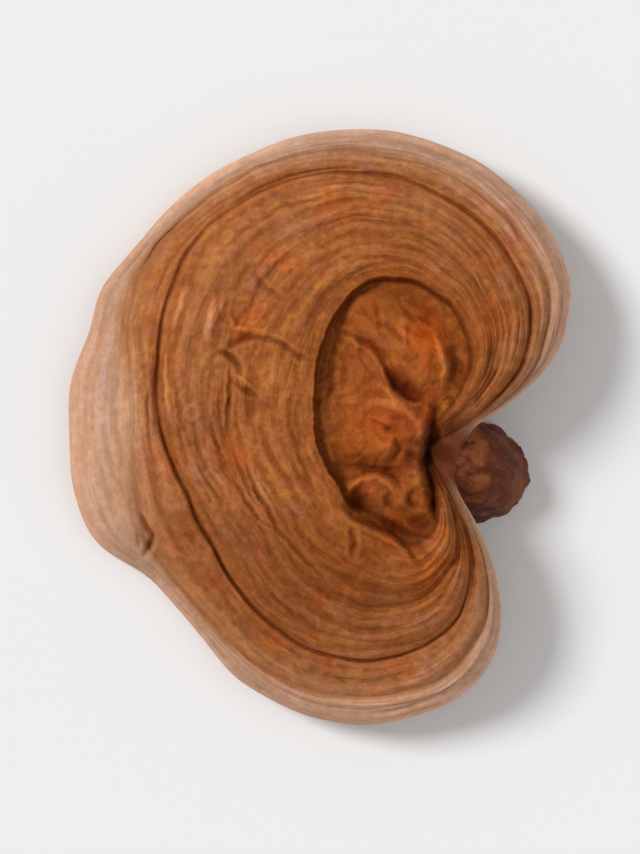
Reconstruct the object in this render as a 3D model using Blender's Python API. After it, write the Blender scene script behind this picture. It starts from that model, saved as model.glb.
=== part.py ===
"""Dried reishi mushroom: a kidney-shaped woody cap on the cut stub of its side stem.

The mushroom lies on its pore side, +Z up, and rests on the low stretches of its front margin and on the
flat cut of the stem. -X is the front margin, +X the side where the stem leaves the cap. The origin is
under the middle of the whole mushroom, on the surface that it rests on. Lengths are metres.
"""

import math

import bmesh
import bpy
import numpy as np

MM = 0.001

# The umbo, the knot that the cap grew from, in plan
UMBO = (8.5 * MM, -0.25 * MM)

# Growth fronts of the cap from the umbo outwards. Each is a closed line round the umbo, given as
# (degrees anticlockwise from +X, radius in millimetres). All of them pinch in at the back, at about
# 335 degrees, where the cap leaves a notch round the stem.
HOLLOW_RIM = (
    (0, 5.7), (12, 7.4), (25, 10.8), (40, 14.8), (60, 18.5), (80, 20.0), (97, 19.9), (113, 16.8),
    (127, 13.9), (143, 11.5), (165, 9.8), (191, 9.2), (215, 9.1), (235, 10.0), (251, 11.8), (264, 12.8),
    (281, 15.6), (291, 15.4), (301, 13.6), (311, 9.6), (319, 6.8), (328, 5.2), (340, 4.8),
)  # fmt: skip
SECOND_GROOVE = (
    (0, 7.2), (12, 9.9), (25, 14.9), (40, 19.4), (60, 23.4), (80, 26.0), (100, 27.6), (130, 24.8),
    (160, 21.8), (180, 20.9), (192, 20.4), (205, 19.3), (222, 19.4), (250, 22.5), (270, 23.4),
    (285, 22.5), (298, 19.4), (308, 14.4), (316, 9.5), (325, 6.8), (335, 5.8), (348, 6.2),
)  # fmt: skip
FIRST_GROOVE = (
    (0, 8.8), (12, 13.0), (25, 19.4), (40, 24.7), (60, 28.8), (80, 32.0), (100, 34.2), (120, 35.3),
    (137, 34.9), (147, 33.4), (163, 31.0), (175, 29.8), (187, 28.4), (198, 27.0), (214, 27.2),
    (226, 28.2), (235, 29.3), (250, 30.5), (265, 30.5), (280, 29.0), (293, 26.0), (305, 19.0),
    (314, 12.0), (323, 7.9), (335, 6.6), (348, 7.2),
)  # fmt: skip
PALE_BAND = (
    (0, 9.8), (12, 15.0), (25, 22.4), (40, 28.0), (60, 32.2), (80, 35.2), (100, 37.2), (120, 38.2),
    (146, 38.4), (159, 35.6), (174, 33.0), (190, 32.9), (203, 34.2), (214, 33.8), (225, 34.0),
    (240, 35.0), (255, 35.8), (270, 35.2), (285, 33.0), (297, 29.0), (307, 21.5), (315, 13.7),
    (323, 8.7), (335, 7.2), (348, 7.9),
)  # fmt: skip
MARGIN = (
    (0, 10.8), (12, 17.0), (25, 26.0), (40, 32.0), (60, 36.0), (80, 38.7), (100, 40.0), (120, 40.6),
    (142, 40.8), (160, 40.7), (176, 41.3), (190, 41.8), (199, 41.8), (204, 40.3), (210, 37.4),
    (217, 36.3), (225, 36.6), (240, 38.3), (255, 39.5), (270, 39.0), (285, 37.0), (297, 33.0),
    (307, 25.0), (315, 16.0), (323, 9.5), (335, 7.9), (348, 8.6),
)  # fmt: skip

# Levels above the resting surface, in millimetres, by direction from the umbo. A level below 0 is a
# stretch of margin that would press into the surface: it is flattened there.
MARGIN_UNDERSIDE = (
    (0, 9.2), (20, 7.2), (45, 4.8), (75, 2.8), (100, 1.7), (125, 0.5), (145, -0.5), (165, 0.4),
    (185, 0.8), (203, 0.2), (220, -0.5), (240, 0.9), (260, 2.4), (285, 4.4), (305, 6.4), (335, 9.4),
)  # fmt: skip
MARGIN_THICKNESS = ((0, 4.5), (60, 6.4), (120, 5.6), (180, 5.0), (220, 4.6), (260, 5.6), (320, 5.5))
HOLLOW_DEPTH = (
    (0, 0.6), (50, 0.7), (80, 1.6), (110, 2.5), (150, 3.1), (200, 3.1), (240, 2.7), (265, 2.0),
    (290, 1.4), (320, 0.6),
)  # fmt: skip
OUTLINE_ROUNDING = 3.5  # degrees that corners of these lines are rounded over
FRONT_GAP = 0.3 * MM  # least distance between two fronts, where they pinch in

PLATEAU_LEVEL = 15.8 * MM  # top of the cap beside the hollow
UNDERSIDE_LEVEL = 6.4 * MM  # pore side of the cap under the umbo
DOME_RISE = 2.6  # powers that give the cap its flat middle and its falling margin
DOME_SHOULDER = 0.9
PORE_ARCH = 1.8
MARGIN_ROUND = 2.6 * MM  # how far the margin's rounded edge reaches in from the outline
MARGIN_START = math.radians(62)  # where the top runs into that rounded edge

HOLLOW_MIDDLE_DEPTH = 2.6 * MM
HOLLOW_WALL = 1.1 * MM  # how wide the hollow's steep wall is in plan
ZONE_CROWN = 0.55 * MM  # how far each growth zone swells between its grooves
GROOVES = (  # number of the front, depth, half-width, and how far the older, inner side stands higher
    (3, 0.55 * MM, 0.8 * MM, 0.25 * MM),
    (4, 1.00 * MM, 0.9 * MM, 0.60 * MM),
    (5, 0.30 * MM, 1.0 * MM, 0.20 * MM),
)
PINCHED_MARGIN = 8 * MM  # where the margin is this close to the umbo, the grooves have run out
OPEN_MARGIN = 28 * MM  # where it is this far, they have their full depth

# Lumps of the umbo, in millimetres from its middle: x, y, half-length, half-width, turn in degrees, and
# height over the hollow's floor
LUMPS = (
    (-1.0, 3.4, 9.6, 7.0, 85, 2.2),
    (1.4, 0.2, 6.8, 5.6, 60, 3.3),
    (2.2, -8.6, 5.4, 4.4, -15, 3.1),
    (4.2, 9.4, 8.4, 5.2, -60, 3.7),
    (-0.8, 15.0, 6.2, 4.8, -30, 2.6),
    (6.4, -13.6, 4.4, 3.4, -35, 1.7),
)
LUMP_FLATNESS = 2.2  # higher is flatter on top and steeper at the sides
LUMP_FOOT = 1.6  # higher lets the sides run out more gently at the foot
LUMP_MERGE = 0.7 * MM  # how softly lumps run into each other
LUMP_FADE = 4.0 * MM  # distance from the margin over which a lump comes to its full height

# Stem stub: its middle line in millimetres from the umbo, and its radius at each of those points
STEM_LINE = ((0.6, -0.5, 9.8), (6.2, -3.0, 7.4), (10.2, -4.7, 4.8), (12.6, -5.7, 0.0))
STEM_RADII = (3.0, 6.0, 6.2, 6.5)
STEM_SWELLING = 0.05  # share of the radius that the stem's sides swell and sink by
STEM_GAP = 0.3 * MM  # clearance between the stem's head and its socket in the cap
SOCKET_OVERRUN = 6 * MM  # how far the socket's cutter runs on below the resting surface

SHARP_ANGLE = math.radians(60)  # edges that turn by more than this aren't shaded smooth
CAP_SPOKES = 104
STEM_SIDES = 28
STEM_RINGS = 9
# Rings of the cap's top, counted in growth fronts: 0 is the umbo's middle, 1 the hollow's foot, 2 its
# rim, 3 and 4 the grooves, 5 the pale band and 6 the margin
TOP_RINGS = (
    0.09, 0.18, 0.27, 0.36, 0.45, 0.54, 0.63, 0.72, 0.81, 0.90, 1.0, 1.5, 2.0, 2.2, 2.5, 2.75, 2.91, 3.0,
    3.1, 3.35, 3.65, 3.88, 4.0, 4.12, 4.45, 4.8, 5.0, 5.25, 5.6, 6.0,
)  # fmt: skip
MARGIN_RINGS = 5
UNDERSIDE_RINGS = 7


def round_the_umbo(points, angles):
    """The value at each angle of a closed line given by a few (degrees, value) points, corners rounded."""
    step = 0.5
    degrees = np.arange(0, 360, step)
    line = np.interp(degrees, *zip(*points), period=360)
    reach = np.arange(-4 * OUTLINE_ROUNDING, 4 * OUTLINE_ROUNDING + step, step)
    weights = np.exp(-0.5 * (reach / OUTLINE_ROUNDING) ** 2)
    half = len(reach) // 2
    wrapped = np.concatenate((line[-half:], line, line[:half]))
    rounded = np.convolve(wrapped, weights / weights.sum(), mode="valid")
    return np.interp(np.degrees(angles), degrees, rounded, period=360) * MM


def spoke_angles(count):
    """Directions of the cap's spokes, closer together where the margin runs in and out of the notch."""
    fine = np.linspace(0, 2 * math.pi, 1441)
    radius = round_the_umbo(MARGIN, fine)
    x, y = radius * np.cos(fine), radius * np.sin(fine)
    length = np.concatenate(([0], np.cumsum(np.hypot(np.diff(x), np.diff(y)))))
    share = 0.5 * length / length[-1] + 0.5 * fine / fine[-1]
    return np.interp(np.arange(count) / count, share, fine)


def smooth_step(x):
    x = np.clip(x, 0, 1)
    return x * x * (3 - 2 * x)


def lumps(x, y):
    """Height of the umbo's lumps over the hollow's floor, merged softly where they meet."""
    total = np.exp(np.zeros_like(x))
    for cx, cy, long, wide, turn, height in LUMPS:
        c, s = math.cos(math.radians(turn)), math.sin(math.radians(turn))
        along = ((x / MM - cx) * c + (y / MM - cy) * s) / long
        across = ((y / MM - cy) * c - (x / MM - cx) * s) / wide
        inside = np.clip(1 - np.hypot(along, across) ** LUMP_FLATNESS, 0, None)
        total += np.exp(height * MM * inside**LUMP_FOOT / LUMP_MERGE) - 1
    return LUMP_MERGE * np.log(total)


class CapShape:
    """Radius and level of the cap's skin, one column for each spoke."""

    def __init__(self, angles):
        self.angles = angles
        rim = round_the_umbo(HOLLOW_RIM, angles)
        margin = round_the_umbo(MARGIN, angles)
        self.margin = margin
        self.fronts = np.array([
            np.zeros_like(angles),
            rim - HOLLOW_WALL,
            rim,
            round_the_umbo(SECOND_GROOVE, angles),
            round_the_umbo(FIRST_GROOVE, angles),
            round_the_umbo(PALE_BAND, angles),
            margin - MARGIN_ROUND * (1 - math.cos(MARGIN_START)),
        ])
        for k in range(len(self.fronts) - 2, 0, -1):
            self.fronts[k] = np.minimum(self.fronts[k], self.fronts[k + 1] - FRONT_GAP)
        self.under = round_the_umbo(MARGIN_UNDERSIDE, angles)
        self.half_edge = round_the_umbo(MARGIN_THICKNESS, angles) / 2
        self.hollow = round_the_umbo(HOLLOW_DEPTH, angles)

    def radius(self, ring):
        """Radius of a ring of the top, its number counted in growth fronts."""
        inner = min(int(ring), len(self.fronts) - 2)
        return self.fronts[inner] + (ring - inner) * (self.fronts[inner + 1] - self.fronts[inner])

    def top(self, ring):
        """(radius, level) of a ring of the top."""
        r = self.radius(ring)
        edge = self.fronts[-1]
        lip = self.under + self.half_edge * (1 + math.sin(MARGIN_START))
        dome = np.clip(1 - (r / edge) ** DOME_RISE, 0, 1) ** DOME_SHOULDER
        level = lip + (PLATEAU_LEVEL - lip) * dome

        foot, rim = self.fronts[1], self.fronts[2]
        inward = np.clip(r / foot, 0, 1)
        floor = HOLLOW_MIDDLE_DEPTH + (self.hollow - HOLLOW_MIDDLE_DEPTH) * inward**2
        level -= floor * (1 - smooth_step((r - foot) / (rim - foot)))
        x, y = r * np.cos(self.angles), r * np.sin(self.angles)
        level += lumps(x, y) * smooth_step((edge - r) / LUMP_FADE)

        pinch = np.clip((self.margin - PINCHED_MARGIN) / (OPEN_MARGIN - PINCHED_MARGIN), 0, 1)
        if ring > 2:
            level += ZONE_CROWN * math.sin(math.pi * (ring % 1)) * pinch
        for front, depth, width, rise in GROOVES:
            off = (r - self.fronts[front]) / width
            level -= depth * np.exp(-(off**2)) * pinch
            level += rise * 0.5 * (1 - np.tanh(off)) * pinch * smooth_step(2 * (ring - 2))
        return r, level

    def edge(self, turn):
        """(radius, level) of a ring of the rounded margin, from its top at MARGIN_START to -90 degrees."""
        r = self.margin - MARGIN_ROUND * (1 - math.cos(turn))
        middle = self.under + self.half_edge
        return r, middle + self.half_edge * math.sin(turn)

    def pores(self, share):
        """(radius, level) of a ring of the pore side: share 1 is at the margin, 0 under the umbo."""
        r = (self.margin - MARGIN_ROUND) * share
        arch = 1 - share**PORE_ARCH
        return r, self.under + (UNDERSIDE_LEVEL - self.under) * arch


def ring_points(shape, radius, level):
    """Points of one ring. The cap is flattened where it would press into the resting surface."""
    x = UMBO[0] + radius * np.cos(shape.angles)
    y = UMBO[1] + radius * np.sin(shape.angles)
    return np.stack((x, y, np.maximum(level, 0)), axis=1)


def skin(rings, first, last):
    """A closed skin over a stack of rings, ended by the points first and last."""
    bm = bmesh.new()
    loops = [[bm.verts.new(p) for p in ring] for ring in rings]
    for a, b in zip(loops, loops[1:]):
        for i in range(len(a)):
            j = (i + 1) % len(a)
            bm.faces.new((a[i], b[i], b[j], a[j]))
    for point, loop, turned in ((first, loops[0], False), (last, loops[-1], True)):
        if point is None:
            bm.faces.new(loop[::-1] if turned else loop)
            continue
        tip = bm.verts.new(point)
        for i in range(len(loop)):
            j = (i + 1) % len(loop)
            bm.faces.new((tip, loop[j], loop[i]) if turned else (tip, loop[i], loop[j]))
    bmesh.ops.recalc_face_normals(bm, faces=bm.faces)
    return bm


def add_object(name, bm, material):
    """Turns a bmesh into an object with its material."""
    mesh = bpy.data.meshes.new(name)
    bm.to_mesh(mesh)
    bm.free()
    mesh.shade_smooth()
    mesh.set_sharp_from_angle(angle=SHARP_ANGLE)
    obj = bpy.data.objects.new(name, mesh)
    bpy.context.scene.collection.objects.link(obj)
    if material:
        mesh.materials.append(material)
    return obj


def finish(name, colour, roughness):
    """A plain Principled material."""
    material = bpy.data.materials.new(name)
    material.use_nodes = True
    shader = material.node_tree.nodes["Principled BSDF"]
    shader.inputs["Base Color"].default_value = (*colour, 1)
    shader.inputs["Roughness"].default_value = roughness
    return material


def make_cap(material):
    shape = CapShape(spoke_angles(CAP_SPOKES))
    rings = [ring_points(shape, *shape.top(ring)) for ring in TOP_RINGS]
    for turn in np.linspace(MARGIN_START, -math.pi / 2, MARGIN_RINGS + 1)[1:]:
        rings.append(ring_points(shape, *shape.edge(turn)))
    for share in np.linspace(1, 0, UNDERSIDE_RINGS + 1)[1:-1]:
        rings.append(ring_points(shape, *shape.pores(share)))
    top = (*UMBO, float(np.mean(shape.top(0.0)[1])))
    bottom = (*UMBO, UNDERSIDE_LEVEL)
    return add_object("cap", skin(rings, top, bottom), material)


def stem_rings(grow, overrun):
    """Rings of the stem round its bent middle line. They turn level towards the cut, which is flat."""
    line = np.array(STEM_LINE) * MM + np.array((*UMBO, 0))
    stations = np.linspace(0, len(line) - 1, STEM_RINGS)
    path = np.stack([np.interp(stations, range(len(line)), line[:, k]) for k in range(3)], axis=1)
    radii = np.interp(stations, range(len(line)), np.array(STEM_RADII) * MM) + grow
    along = np.gradient(path, axis=0)
    along /= np.linalg.norm(along, axis=1)[:, None]
    path[0] -= along[0] * grow
    path[-1] -= along[-1] * overrun / along[-1][2]
    turns = np.arange(STEM_SIDES) * 2 * math.pi / STEM_SIDES
    rings = []
    for k, (middle, direction, radius) in enumerate(zip(path, along, radii)):
        side = np.cross(direction, (0, 0, 1.0))
        side /= np.linalg.norm(side)
        up = np.cross(side, direction)
        swell = 1 + STEM_SWELLING * (np.sin(2 * turns + 0.9 * k) + 0.6 * np.sin(3 * turns - 0.5 * k))
        out = (radius * swell)[:, None] * (np.cos(turns)[:, None] * side + np.sin(turns)[:, None] * up)
        level = smooth_step(k / (STEM_RINGS - 1))
        facing = (1 - level) * direction + level * np.array((0, 0, -1.0))
        rings.append(middle + out - np.outer(out @ facing / (direction @ facing), direction))
    return rings


def make_stem(material):
    rings = stem_rings(grow=0, overrun=0)
    rings[-1][:, 2] = 0  # the flat cut that the stem rests on
    return add_object("stem", skin(rings, None, None), material)


def cut_socket(cap):
    """The socket in the cap that the stem's head sits in, a little wider than the stem."""
    cutter = add_object("stem_socket", skin(stem_rings(STEM_GAP, SOCKET_OVERRUN), None, None), None)
    cutter.hide_render = True
    cutter.display_type = "WIRE"
    cut = cap.modifiers.new("stem_socket", "BOOLEAN")
    cut.operation = "DIFFERENCE"
    cut.solver = "EXACT"
    cut.object = cutter


def main():
    for old in list(bpy.data.objects):
        bpy.data.objects.remove(old)
    cap = make_cap(finish("cap", (0.35, 0.13, 0.045), 0.85))
    make_stem(finish("stem", (0.10, 0.030, 0.015), 0.40))
    cut_socket(cap)


main()
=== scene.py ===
"""The looks of a dried reishi mushroom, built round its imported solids.

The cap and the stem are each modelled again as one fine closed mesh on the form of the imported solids,
with the growth lines, furrows, cracks, wrinkled lumps and pores that the solids leave out. Lengths are
metres and +Z is up, but those given without MM are millimetres. The mushroom lies on its pore side, and
the camera looks straight down on the cap.
"""

import math

import bpy
import mathutils
import numpy as np
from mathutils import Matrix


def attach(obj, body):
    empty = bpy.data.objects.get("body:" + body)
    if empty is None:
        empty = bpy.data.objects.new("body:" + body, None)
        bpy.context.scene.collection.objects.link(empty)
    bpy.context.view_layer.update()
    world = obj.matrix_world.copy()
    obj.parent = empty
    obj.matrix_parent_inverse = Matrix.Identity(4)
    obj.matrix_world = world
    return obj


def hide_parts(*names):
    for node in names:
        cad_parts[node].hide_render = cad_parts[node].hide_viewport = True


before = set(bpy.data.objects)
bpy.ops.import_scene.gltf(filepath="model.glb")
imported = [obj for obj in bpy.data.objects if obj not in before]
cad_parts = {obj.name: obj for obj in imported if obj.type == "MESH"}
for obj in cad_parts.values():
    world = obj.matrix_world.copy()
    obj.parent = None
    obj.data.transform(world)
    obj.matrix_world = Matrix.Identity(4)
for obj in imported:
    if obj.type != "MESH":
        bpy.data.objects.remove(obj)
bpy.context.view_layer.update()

MM = 0.001

# ---------- form of the solids, from the same values

# Some differ from the solids', to follow the real mushroom more closely: MARGIN at 149 to 182 degrees,
# PALE_BAND at 154 and 159 degrees, HOLLOW_WALL, GROOVES and FULL_ZONE.

# The umbo, the knot that the cap grew from, in plan
UMBO = (8.5 * MM, -0.25 * MM)

# Growth fronts of the cap from the umbo outwards: closed lines round it, as (degrees anticlockwise from
# +X, radius). All pinch in at the back, near 335 degrees, where the cap leaves a notch round the stem.
HOLLOW_RIM = (
    (0, 5.7), (12, 7.4), (25, 10.8), (40, 14.8), (60, 18.5), (80, 20), (97, 19.9), (113, 16.8),
    (127, 13.9), (143, 11.5), (165, 9.8), (191, 9.2), (215, 9.1), (235, 10), (251, 11.8), (264, 12.8),
    (281, 15.6), (291, 15.4), (301, 13.6), (311, 9.6), (319, 6.8), (328, 5.2), (340, 4.8),
)
SECOND_GROOVE = (
    (0, 7.2), (12, 9.9), (25, 14.9), (40, 19.4), (60, 23.4), (80, 26), (100, 27.6), (130, 24.8),
    (160, 21.8), (180, 20.9), (192, 20.4), (205, 19.3), (222, 19.4), (250, 22.5), (270, 23.4),
    (285, 22.5), (298, 19.4), (308, 14.4), (316, 9.5), (325, 6.8), (335, 5.8), (348, 6.2),
)
FIRST_GROOVE = (
    (0, 8.8), (12, 13), (25, 19.4), (40, 24.7), (60, 28.8), (80, 32), (100, 34.2), (120, 35.3),
    (137, 34.9), (147, 33.4), (163, 31), (175, 29.8), (187, 28.4), (198, 27), (214, 27.2),
    (226, 28.2), (235, 29.3), (250, 30.5), (265, 30.5), (280, 29), (293, 26), (305, 19),
    (314, 12), (323, 7.9), (335, 6.6), (348, 7.2),
)
PALE_BAND = (
    (0, 9.8), (12, 15), (25, 22.4), (40, 28), (60, 32.2), (80, 35.2), (100, 37.2), (120, 38.2),
    (146, 38.4), (154, 37.2), (159, 35.8), (174, 33), (190, 32.9), (203, 34.2), (214, 33.8),
    (225, 34), (240, 35), (255, 35.8), (270, 35.2), (285, 33), (297, 29), (307, 21.5),
    (315, 13.7), (323, 8.7), (335, 7.2), (348, 7.9),
)
MARGIN = (
    (0, 10.8), (12, 17), (25, 26), (40, 32), (60, 36), (80, 38.7), (100, 40), (120, 40.6),
    (142, 40.8), (149, 41.2), (155, 42.7), (161, 40.6), (168, 41.6), (174, 42.1), (182, 41.9),
    (190, 41.8), (199, 41.8), (204, 40.3), (210, 37.4), (217, 36.3), (225, 36.6), (240, 38.3),
    (255, 39.5), (270, 39), (285, 37), (297, 33), (307, 25), (315, 16), (323, 9.5),
    (335, 7.9), (348, 8.6),
)
# Numbers of these fronts from the umbo outwards; 3 and 4 are the grooves, 5 is the pale band
WALL_FOOT = 1
WALL_RIM = 2
LAST_FRONT = 6  # where the top runs into the margin's rounded edge

# Levels above the resting surface, by direction from the umbo. Where the margin's is below 0, it is
# flattened on the surface.
MARGIN_UNDERSIDE = (
    (0, 9.2), (20, 7.2), (45, 4.8), (75, 2.8), (100, 1.7), (125, 0.5), (145, -0.5), (165, 0.4),
    (185, 0.8), (203, 0.2), (220, -0.5), (240, 0.9), (260, 2.4), (285, 4.4), (305, 6.4), (335, 9.4),
)
MARGIN_THICKNESS = ((0, 4.5), (60, 6.4), (120, 5.6), (180, 5), (220, 4.6), (260, 5.6), (320, 5.5))
HOLLOW_DEPTH = (
    (0, 0.6), (50, 0.7), (80, 1.6), (110, 2.5), (150, 3.1), (200, 3.1), (240, 2.7), (265, 2),
    (290, 1.4), (320, 0.6),
)
OUTLINE_ROUNDING = 3.5  # degrees that corners of these lines are rounded over
OUTLINE_STEP = 0.5  # degrees between the places where a line is worked out
FRONT_GAP = 0.3 * MM  # least distance between two fronts, where they pinch in

PLATEAU_LEVEL = 15.8 * MM  # top of the cap beside the hollow
UNDERSIDE_LEVEL = 6.4 * MM  # pore side of the cap under the umbo
DOME_RISE = 2.6  # powers that give the cap its flat middle and its falling margin
DOME_SHOULDER = 0.9
PORE_ARCH = 1.8
MARGIN_ROUND = 2.6 * MM  # how far the margin's rounded edge reaches in from the outline
MARGIN_START = math.radians(62)  # where the top runs into that rounded edge

HOLLOW_MIDDLE_DEPTH = 2.6 * MM
# How wide the hollow's steep wall is in plan, by direction from the umbo
HOLLOW_WALL = (
    (0, 0.7), (70, 1), (95, 0.9), (120, 0.7), (228, 0.7), (245, 1.3), (262, 3), (285, 3.4),
    (303, 1.6), (318, 0.7),
)
ZONE_CROWN = 0.55 * MM  # how far each growth zone swells between its grooves
FULL_ZONE = 3 * MM  # a zone narrower than this swells less
GROOVES = (  # number of the front, depth, half-width, and how far the older, inner side stands higher
    (3, 0.4 * MM, 0.8 * MM, 0.25 * MM),
    (4, 0.25 * MM, 0.6 * MM, 0.5 * MM),
    (5, 0.3 * MM, 1.0 * MM, 0.2 * MM),
)
PINCHED_MARGIN = 8 * MM  # the margin's distance from the umbo where the grooves have run out
OPEN_MARGIN = 28 * MM  # and where they have their full depth

# Lumps of the umbo: x and y from its middle, half-length, half-width, turn in degrees, and height
LUMPS = (
    (-1.0, 3.4, 9.6, 7.0, 85, 2.2),
    (1.4, 0.2, 6.8, 5.6, 60, 3.3),
    (2.2, -8.6, 5.4, 4.4, -15, 3.1),
    (4.2, 9.4, 8.4, 5.2, -60, 3.7),
    (-0.8, 15.0, 6.2, 4.8, -30, 2.6),
    (6.4, -13.6, 4.4, 3.4, -35, 1.7),
)
LUMP_FLATNESS = 2.2  # higher is flatter on top and steeper at the sides
LUMP_FOOT = 1.6  # higher lets the sides run out more gently at the foot
LUMP_MERGE = 0.7 * MM  # how softly lumps run into each other
LUMP_FADE = 4 * MM  # how far in from the margin a lump comes to its full height

# Stem stub: its middle line from the umbo, and its radius at each of those points
STEM_LINE = ((0.6, -0.5, 9.8), (6.2, -3.0, 7.4), (10.2, -4.7, 4.8), (12.6, -5.7, 0.0))
STEM_RADII = (3.0, 6.0, 6.2, 6.5)
STEM_SWELLING = 0.05  # share of the radius that the stem's sides swell and sink by
STEM_SWELLS = ((2, 1.0, 0.9), (3, 0.6, -0.5))  # how many round the stem, how strong, how far they twist
STEM_TWIST = 8  # what the twist counts up to from the head to the cut

# ---------- fine form

CAP_SPOKES = 480
# Fine rings of the top: (growth front that they start from, how many, how much they crowd at both ends)
TOP_STRETCHES = ((0, 42, 0), (1, 8, 0), (2, 40, 0.3), (3, 36, 0.5), (4, 20, 0.4), (5, 20, 0))
EDGE_RINGS = 13
PORE_RINGS = 27
COLLAR_REACH = 8.0  # how far round the stem the cap's lip flows onto it
COLLAR_SHIFT = (2.2, -1.0, -1.1)  # how far it flows there
LIP_PASSES = 12  # passes that smooth the lip there
LIP_REACH = 1.5  # how far round the stem it is smoothed, in COLLAR_REACH
BLEND_PASSES = 8  # passes that round off the line between the top and the margin
EDGE_ZONE = 6.5  # zone number where the margin turns into the pore side
# Zones, counted in growth fronts, and how far from the umbo they usually lie
ZONE_GROWTH = ((0, 1, 2, 3, 4, 5, 6, EDGE_ZONE, EDGE_ZONE + 1), (0, 9, 10.5, 21.5, 30, 34.5, 40, 46, 84))
RING_GIRTH = 35.0  # radius at which growth coordinates run round the cap at true size
# How far the pale colour of the margin reaches in by direction from the umbo, in zones. The dip below 0
# at 130 to 170 degrees makes the margin there darker as painted shade.
PALE_LEAD = (
    (0, 0.1), (110, 0.05), (130, -0.2), (142, -0.65), (150, -0.55), (160, -0.35), (170, 0),
    (180, 0.05), (192, -0.1), (208, -0.25), (240, -0.2), (275, 0.05),
)

# Changes from the umbo outwards: the zone where each starts, and how many zones it takes
RINGS_START = (1.7, 0.6)  # rings take over from the wrinkles of the hollow
RINGS_CALM = (4.7, 0.5)  # the relief of the rings grows weaker
UPRIGHT_END = (4.6, 0.8)  # relief no longer stands straight up, but square to the skin
EDGE_START = (5.3, 0.7)  # the margin's own unevenness starts
TOP_END = (6.0, 0.2)  # the top's relief ends
PORES_START = (6.55, 0.3)  # the pore side takes over from the margin
LIP_FLOW = ((5.2, 0.8), (6.6, 0.3))  # the lip flows onto the stem between these
LIP_SMOOTH = ((4.2, 0.8), (6.8, 0.15))  # it is smoothed between these
LEAD_SPAN = ((4.0, 0.3), (4.9, 1.9))  # PALE_LEAD counts between these
RINGS_CALMED = 0.35  # share of their relief that the rings lose
PINCHED_RELIEF = 0.3  # share of it that is left where the margin is pinched in
PINCHED_EDGE = 0.25  # the same for the wandering of fronts and for the margin's unevenness

# Kinds of unevenness: seed, strength, size of the grain, and layers. A size of three is that round the
# cap or the stem, given twice, and that across the rings or along the stem.
LUMP_SWAYS = ((45, 0.6, 5.5, 2), (46, 0.6, 5.5, 2))  # of the umbo's lumps, in x and in y
TRACE_SWAYS = ((51, 0.22, 2.2, 2), (52, 0.22, 2.2, 2))  # of what is traced, in x and in y
FRONT_WANDER = {2: (82, 0.42, 9, 3), 3: (83, 0.4, 9, 3), 4: (84, 0.14, 7, 3), 5: (85, 0.4, 9, 3)}
RING_SWAY = (31, 0.9, (16, 16, 9), 1)  # of the relief that follows the rings, across them
RING_WAVES = ((11, 0.34, (26, 26, 3.2), 2), (12, 0.22, (15, 15, 1.4), 2), (13, 0.09, (9, 9, 0.6), 1))
WAVE_STRENGTH = (3, 0.8, (11, 11, 5), 1)  # its seed is counted from each wave's
TOP_GRAIN = (53, 0.1, 1.5, 3)
UMBO_WRINKLES = ((41, 0.3, 3.6, 3), (43, 0.1, 1.3, 2))
EDGE_WAVES = ((61, 0.4, (8, 8, 30), 1), (62, 0.12, (7, 7, 1.1), 1))
PORE_WAVES = (63, 0.22, 7, 2)
LIP_RUNS = (64, 0.5, (5, 5, 20), 1)
STEM_LUMPS = ((71, 0.4, (3.6, 3.6, 5), 2), (72, 0.12, (1.2, 1.2, 6), 2))
# Thin creases: seed, depth, size of the grain, and sharpness
UMBO_CREASES = (42, 0.16, 3, 0.14)
STEM_CREASES = (73, 0.18, (2.2, 2.2, 4), 0.14)
# Cracks between rings: thin creases, and the share of the cap without them
RING_CRACKS = (((21, 0.16, (18, 18, 2.3), 0.16), 0.75), ((22, 0.1, (11, 11, 1.3), 0.2), 0.65))
CRACK_SPREAD = (5, 1.2, (14, 14, 6), 1)  # its seed is counted from the cracks'

# The thin furrow in the bottom of each groove, darkened by its depth as painted shade: front, depth,
# half-width, how far it wanders, and how uneven its depth is
FURROWS = ((3, 0.05, 0.22, 0.55, 0.9), (4, 0.88, 0.25, 0.24, 0.5), (5, 0.1, 0.22, 0.5, 0.9))
FURROW_FULLNESS = 0.8  # its usual depth, as a share
FURROW_WANDER = (34, 1, (7, 7, 50), 1)  # this seed and the next are the first furrow's
FURROW_BREAKS = (37, 1, (10, 10, 50), 1)
# How deep the furrows are by direction from the umbo, as a share
FURROW_STRENGTH = (
    (0, 0.4), (60, 0.4), (110, 0.5), (140, 0.55), (162, 0.65), (178, 0.85), (188, 1), (198, 1.3),
    (235, 1.3), (262, 0.7), (290, 0.45),
)

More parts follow.
